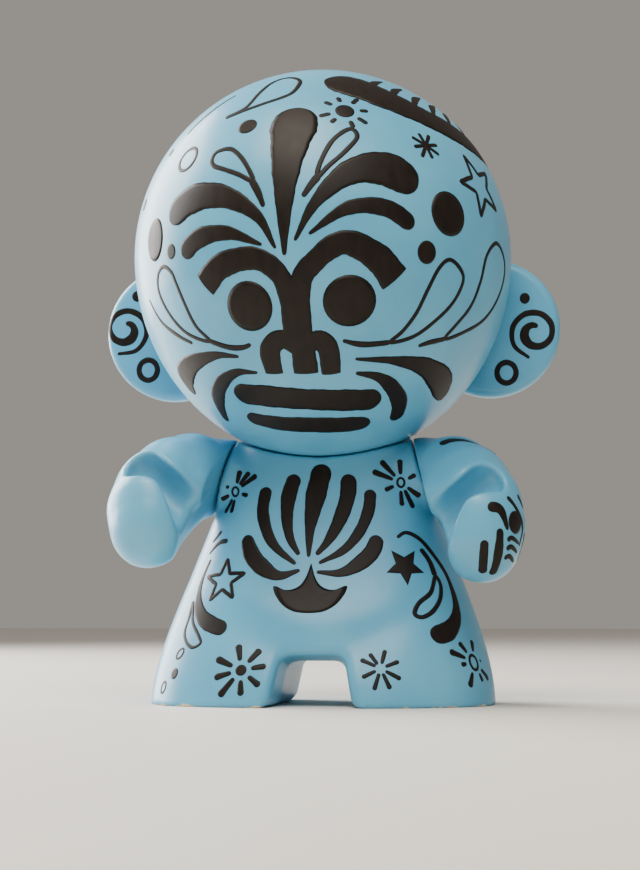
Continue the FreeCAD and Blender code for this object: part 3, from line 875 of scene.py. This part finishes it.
def paint_fan(film):
    """A fan of curved petals over a cup."""
    petals = [([(1.2, 66.2), (-0.8, 57), (-2, 48.4), (-2.1, 40.4)], [5.7, 5.8, 2.9, 0.9]),
              ([(-6.5, 63.4), (-8.3, 57.2), (-8.5, 50.8), (-7.4, 45.5), (-4.8, 41)],
               [4.2, 4.4, 3.2, 2.4, 1.1]),
              ([(8.2, 63.4), (8.1, 57.4), (6.1, 50.7), (3.2, 45), (0, 41)], [4.5, 4.4, 4, 2.6, 1.1]),
              ([(-14.7, 60), (-15.5, 53.2), (-13.7, 46.7), (-10.8, 42.6), (-5.6, 38.5)],
               [3.6, 3.6, 3.2, 2.4, 1]),
              ([(14.3, 59.1), (13.9, 53.4), (11.5, 47.2), (7.3, 42.2), (0.8, 38.7)],
               [3.4, 3.4, 3.1, 2.4, 0.9]),
              ([(-20.1, 46.5), (-17.9, 40.9), (-14.1, 37.1), (-9.8, 35.3), (-4.3, 36.8)],
               [3.4, 5, 4.7, 2.7, 0.9]),
              ([(16.7, 46.3), (15, 41.6), (10.9, 37.9), (6.4, 36), (0.3, 36.3)], [3.6, 4.8, 4.2, 2.3, 0.9])]
    for places, widths in petals:
        plume(film, places, widths)
    film.disc(film.at(-1.3, 28.2), cup_outline())


def paint_torso(film):
    paint_fan(film)
    paint_flowers(film)
    paint_hips(film)
    paint_torso_back(film)


def paint_flowers(film):
    """Flowers with uneven petals, and two stars."""
    flower(film, film.at(-24, 59), [(77, 6.3), (54, 7), (36, 8), (-18, 4.6), (-93, 6.4), (-117, 6.8),
           (148, 3.4), (205, 5.5)], 1.2, True)
    flower(film, film.at(22.4, 61.2), [(131, 8.2), (91, 7), (27, 4.8), (-36, 7.1), (-62, 7.9),
           (-91, 6.8), (207, 5.3), (159, 8.5)], 1.2, True)
    flower(film, film.at(-18.9, 9.9), [(104, 7.8), (54, 7.8), (12, 7), (-37, 7.2), (-84, 7.2),
           (-127, 9.2), (195, 7.9), (156, 8.5)], thin=1.2, fat=2.1)
    flower(film, film.at(42.6, 11.8), [(121, 7), (70, 6.8), (155, 9), (184, 5.4), (237, 8), (292, 5.8),
           (324, 8), (8, 4)], 2, True, fat=2)
    flower(film, film.at(18.6, 10.4), [(75, 5.6), (122, 5.3), (152, 6), (206, 5.6), (252, 6.3),
           (293, 6.2), (332, 6.1), (23, 5.5)], 0, fat=1.5)
    outline_star(film, film.at(-25.8, 34), 6.4, 4)
    film.disc(film.at(24.1, 37.9), star_outline(5.8, 2.7, 180))


def paint_hips(film):
    """Swooshes, outlined drops and dots down both hips."""
    plume(film, [(-30.5, 40), (-33, 33), (-33.2, 28.2), (-31.8, 24.6), (-29.5, 22.6), (-26.4, 21.3),
          (-24, 20.7)], [0.8, 1.6, 2.6, 4, 4.8, 4.8, 4.6])
    plume(film, [(21.7, 45.8), (24.1, 47.2), (27.8, 45.3), (31.7, 40.7), (35.2, 34.9), (37.3, 29),
          (37.8, 24), (35.8, 20.3), (31.5, 18.8)], [0.9, 1.1, 1.3, 1.4, 1.5, 2.2, 3.6, 5.6, 5.6])
    loop(film, [(-35, 28.2), (-35.7, 24), (-36.6, 20), (-35.7, 17.2), (-33.6, 15.8), (-31.3, 17),
         (-32, 18.9), (-34.2, 22.4), (-34.7, 25.3)], 1)
    plume(film, [(28, 42.8), (30.4, 39.4), (32, 35.2)], [1.4, 1.7, 1.9])
    loop(film, [(32.1, 35), (33.5, 32.8), (33.5, 29), (31.7, 25.6), (29, 24), (27, 25), (28, 27.8),
         (31, 30.7)], 1.3)
    plume(film, [(-31.2, 41.5), (-28.5, 44.5), (-25.5, 45.2)], [0.8, 1.3, 1.6])
    plume(film, [(-30.4, 44.8), (-27.8, 48)], [0.8, 1.3])
    film.disc(film.at(-38.6, 8.7), oval(2.8, 3.2))
    for x, z, lean in ((-37.4, 14.1, -30), (-42, 4.9, -10)):
        outline(film, film.at(x, z), oval(2.2, 3.2, lean, 8), 0.7)


def paint_torso_back(film):
    """The unseen back of the body."""
    back = film.back
    for i in range(5):
        x = (i - 2) * 6.5
        film.stroke([back(x, 58 - abs(i - 2) * 4), back(x * 0.75, 48 - abs(i - 2) * 2), back(x * 0.15, 36)],
                    [4.4, 3.8, 0.8])
    film.disc(back(0, 31), oval(6.5, 6))
    for side in (-1, 1):
        film.stroke([back(side * 14, 44), back(side * 27, 38), back(side * 33, 26), back(side * 27, 18)],
                    [0.8, 2.2, 4.2, 5.6])
        flower(film, back(side * 20, 12), evenly(8, 6.4, 15))
        outline_star(film, back(side * 24, 52), 4.6, 8)


def paint_left_hand(film):
    """Bars, a comma, an oval and small curls on the hand."""
    at = film.at
    film.stroke([at(9, -3), at(8, -28), at(8, -58)], [2, 2.5, 2.2])
    film.stroke([at(33, 14), at(32, -18), at(36, -60)], [1.9, 2.8, 2.1])
    film.stroke([at(15, 42), at(36, 38), at(47, 12)], [3.4, 2.6, 1])
    film.disc(at(64, 22), oval(5.6, 6.2))
    film.stroke([at(58, 52), at(70, 38), at(84, 14), at(80, -10)], [1.8, 1.4, 1.1, 0.8])
    for lat in (-3, -16, -30):
        film.stroke([at(46, lat), at(54, lat + 4), at(64, lat + 1), at(76, lat - 4)], [1.5, 1.4, 1.2, 0.7])
    film.stroke([at(96, 50), at(104, 36)], [2.4, 1.4])
    film.stroke([at(96, 8), at(104, -10), at(100, -30)], [0.8, 3, 1])


# ---- materials
class Paint:
    """A material with the texture nodes that feed its shader."""

    def __init__(self, name):
        self.material = bpy.data.materials.new(name)
        self.material.use_nodes = True
        self.nodes = self.material.node_tree.nodes
        self.link = self.material.node_tree.links.new
        self.place = self.node("TexCoord").outputs["Object"]

    def node(self, kind, **values):
        """A new node. Its inputs are given by name, with a line for each space."""
        node = self.nodes.new("ShaderNode" + kind)
        for name, value in values.items():
            node.inputs[name.replace("_", " ")].default_value = value
        return node

    def noise(self, scale, detail, stretch=None):
        texture = self.node("TexNoise", Scale=scale, Detail=detail)
        place = self.place
        if stretch:
            mapping = self.node("Mapping", Scale=stretch)
            self.link(place, mapping.inputs["Vector"])
            place = mapping.outputs["Vector"]
        self.link(place, texture.inputs["Vector"])
        return texture.outputs["Fac"]

    def ramp(self, source, stops):
        node = self.node("ValToRGB")
        elements = node.color_ramp.elements
        for i, (place, colour) in enumerate(stops):
            element = elements[i] if i < 2 else elements.new(place)
            element.position = place
            element.color = (*colour, 1)
        self.link(source, node.inputs["Fac"])
        return node.outputs["Color"]

    def mixed(self, factor, first, second):
        """From a colour source to a plain colour, by a factor."""
        node = self.node("Mix")
        node.data_type = "RGBA"
        low, high = [i for i in node.inputs if i.type == "RGBA"]
        self.link(factor, node.inputs["Factor"])
        self.link(first, low)
        high.default_value = (*second, 1)
        return [o for o in node.outputs if o.type == "RGBA"][0]

    def scaled(self, source, low, high):
        node = self.node("MapRange", To_Min=low, To_Max=high)
        self.link(source, node.inputs["Value"])
        return node.outputs["Result"]

    def bump(self, source, strength, distance):
        node = self.node("Bump", Strength=strength, Distance=distance)
        self.link(source, node.inputs["Height"])
        return node.outputs["Normal"]

    def finish(self, sources, values):
        """Links the shader's inputs to their sources, and sets the ones that are plain values."""
        shader = self.nodes["Principled BSDF"]
        for name, source in sources.items():
            self.link(source, shader.inputs[name])
        for name, value in values.items():
            shader.inputs[name].default_value = value
        return self.material


BLUE = (0.088, 0.36, 0.56)
BLUE_LIGHT = (0.115, 0.40, 0.60)
BLUE_DEEP = (0.068, 0.315, 0.51)
CREAM = (0.70, 0.58, 0.38)
INK = (0.0075, 0.0052, 0.0042)
INK_WARM = (0.014, 0.0085, 0.006)
WHITE = (0.74, 0.73, 0.69)
WHITE_SHADE = tuple(c * 0.93 for c in WHITE)
CHIP_RAGGED = 0.0052  # how much of the height above the floor the noise takes off, in metres
CHIP_START = -0.00245
CHIP_END = -0.0026


def chips(paint):
    """Where the paint has come off: a ragged edge low down on the soles."""
    height = paint.node("SeparateXYZ")
    paint.link(paint.place, height.inputs["Vector"])
    worn = paint.node("Math")
    worn.operation = "MULTIPLY_ADD"
    paint.link(paint.noise(150, 3), worn.inputs[0])
    worn.inputs[1].default_value = -CHIP_RAGGED
    paint.link(height.outputs["Z"], worn.inputs[2])
    edge = paint.node("MapRange", From_Min=CHIP_START, From_Max=CHIP_END)
    paint.link(worn.outputs[0], edge.inputs["Value"])
    return edge.outputs["Result"]


def blue_paint():
    """Brushed-on sky blue: slow shifts of tone, fine brush marks, and cream chips at the soles."""
    paint = Paint("sky_blue_paint")
    tone = paint.ramp(paint.noise(38, 3), [(0.3, BLUE_DEEP), (0.7, BLUE_LIGHT), (0.5, BLUE)])
    brush = paint.noise(260, 4, (1, 1, 0.22))
    tone = paint.mixed(paint.scaled(brush, 0, 0.22), tone, BLUE_LIGHT)
    return paint.finish({"Base Color": paint.mixed(chips(paint), tone, CREAM),
                         "Roughness": paint.scaled(brush, 0.26, 0.42),
                         "Normal": paint.bump(brush, 0.16, 0.00012)},
                        {"Coat Weight": 0.08, "Coat Roughness": 0.14, "Specular IOR Level": 0.36,
                         "Subsurface Weight": 0.05, "Subsurface Radius": (0.002, 0.004, 0.006)})


def dark_paint():
    """Marker paint: almost black, a little brown, thinner where the stroke dried."""
    paint = Paint("dark_marker_paint")
    brush = paint.noise(420, 4, (1, 1, 0.4))
    return paint.finish({"Base Color": paint.ramp(brush, [(0.35, INK), (0.75, INK_WARM)]),
                         "Roughness": paint.scaled(brush, 0.38, 0.55),
                         "Normal": paint.bump(brush, 0.15, 0.00008)},
                        {"Specular IOR Level": 0.17})


def joint_plastic():
    """Moulded off-white plastic, fine grained."""
    paint = Paint("joint_plastic")
    grain = paint.noise(900, 2)
    return paint.finish({"Base Color": paint.ramp(grain, [(0.3, WHITE_SHADE), (0.7, WHITE)]),
                         "Roughness": paint.scaled(grain, 0.42, 0.58)}, {})


def cover(obj, material):
    obj.data.materials.clear()
    obj.data.materials.append(material)


def dress(obj, material, body, slot, *nodes):
    cover(obj, material)
    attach(obj, body)
    if nodes:
        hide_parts(*nodes)


# ---- the figure
CELL = 0.8  # size of the meshes' faces
SMALL_CELL = 0.75  # on ears and arms, as a share of that
TORSO_BOX = ((-50, -34, -2), (50, 37, 79))
ARM_BOX = ((-3, -17, -14), (28, 20, 53))
EAR_BOX = (EAR_CENTRE - (22, 5, 22), EAR_CENTRE + (22, 5, 22))


def build_shells(blue):
    cell = CELL
    torso = shell("torso_skin", torso_field, *TORSO_BOX, cell)
    dress(torso, blue, "torso", "blue_vinyl", "torso_shell")
    dress(head_shell(), blue, "head", "blue_vinyl", "head_shell")
    small = cell * SMALL_CELL
    for name, place, flip in (("left_ear", None, False), ("right_ear", mirror, True)):
        ear = shell(name + "_skin", ear_field, *EAR_BOX, small, place, flip)
        dress(ear, blue, "head", "blue_vinyl", name)
    for name, place, flip in (("left_arm", left_place, False), ("right_arm", right_place, True)):
        arm = shell(name + "_skin", arm_field, *ARM_BOX, small, place, flip)
        dress(arm, blue, name, "blue_vinyl", name + "_shell")


def build_paintings(dark):
    fingers = left_place(np.array(ARM[-1][:3]))
    for name, paint, film in (("head", paint_head, Film(head_field, HEAD_CENTRE)),
                              ("torso", paint_torso, Film(torso_skin)),
                              ("left_arm", paint_left_hand, Film(left_arm_skin, fingers))):
        paint(film)
        dress(film.finish(name + "_painting"), dark, name, "dark_paint")
    shoulder = Film(left_arm_skin)
    plume(shoulder, [(33.8, 71.0), (38, 72.4), (44, 71.2), (49, 68.2)], [2.6, 2.8, 1.8, 0.7])
    dress(shoulder.finish("shoulder_stroke"), dark, "left_arm", "dark_paint")
    for side, name, field in ((1, "left_ear", ear_field), (-1, "right_ear", right_ear_field)):
        film = Film(field)
        paint_ear(film, side)
        dress(film.finish(name + "_painting"), dark, "head", "dark_paint")


def dress_joints(plastic):
    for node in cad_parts.values():
        if not node.hide_render:
            cover(node, plastic)


def build_figure():
    build_shells(blue_paint())
    build_paintings(dark_paint())
    dress_joints(joint_plastic())


# ---- studio
def area_light(name, place, aim, size, power, colour):
    data = bpy.data.lights.new(name, "AREA")
    data.shape = "RECTANGLE"
    data.size, data.size_y = size
    data.energy = power
    data.color = colour
    light = bpy.data.objects.new(name, data)
    light.location = place
    light.rotation_euler = (Vector(aim) - Vector(place)).to_track_quat("-Z", "Y").to_euler()
    bpy.context.scene.collection.objects.link(light)


FLOOR_CORNERS = [(-3000, -2500, 0), (3000, -2500, 0), (3000, 3000, 0), (-3000, 3000, 0)]
FLOOR_COLOUR = (0.78, 0.75, 0.70, 1)
FLOOR_ROUGHNESS = 0.5
WORLD_COLOUR = (0.90, 0.84, 0.76, 1)
WORLD_STRENGTH = 0.36

# Each light: its name, where it is, where it points, its size, its power in watts, its colour.
LIGHTS = [("window", (-0.75, 0.40, 0.42), (0, 0, 0.09), (0.7, 0.8), 29, (1.0, 0.98, 0.95)),
          ("fill", (0.10, -0.70, 0.95), (0, 0, 0.14), (0.7, 0.6), 7.5, (1.0, 0.97, 0.93)),
          ("top", (-0.10, -0.22, 0.62), (0, 0, 0.14), (0.3, 0.3), 3.2, (1.0, 0.90, 0.74))]


def build_floor():
    floor = mesh_object("floor", FLOOR_CORNERS, [(0, 1, 2, 3)])
    material = bpy.data.materials.new("pale_floor")
    material.use_nodes = True
    shader = material.node_tree.nodes["Principled BSDF"]
    shader.inputs["Base Color"].default_value = FLOOR_COLOUR
    shader.inputs["Roughness"].default_value = FLOOR_ROUGHNESS
    floor.data.materials.append(material)


def build_studio():
    build_floor()
    world = bpy.data.worlds.new("studio")
    world.use_nodes = True
    background = world.node_tree.nodes["Background"]
    background.inputs["Color"].default_value = WORLD_COLOUR
    background.inputs["Strength"].default_value = WORLD_STRENGTH
    bpy.context.scene.world = world
    for light in LIGHTS:
        area_light(*light)


CAMERA_TURN = math.radians(7.0)
CAMERA_DISTANCE = 0.600
CAMERA_HEIGHT = 0.025
AIM_HEIGHT = 0.0751
AIM_LEFT = 0.0008
SENSOR = 36.0
FOCAL_LENGTH = 88.5517


def build_camera():
    data = bpy.data.cameras.new("camera")
    data.sensor_fit = "VERTICAL"
    data.sensor_height = SENSOR
    data.lens = FOCAL_LENGTH
    camera = bpy.data.objects.new("camera", data)
    right = Vector((math.cos(CAMERA_TURN), math.sin(CAMERA_TURN), 0))
    back = Vector((math.sin(CAMERA_TURN), -math.cos(CAMERA_TURN), 0))
    shift = right * -AIM_LEFT
    camera.location = back * CAMERA_DISTANCE + Vector((0, 0, CAMERA_HEIGHT)) + shift
    aim = Vector((0, 0, AIM_HEIGHT)) + shift
    camera.rotation_euler = (aim - camera.location).to_track_quat("-Z", "Y").to_euler()
    bpy.context.scene.collection.objects.link(camera)
    bpy.context.scene.camera = camera


build_camera()
build_figure()
build_studio()
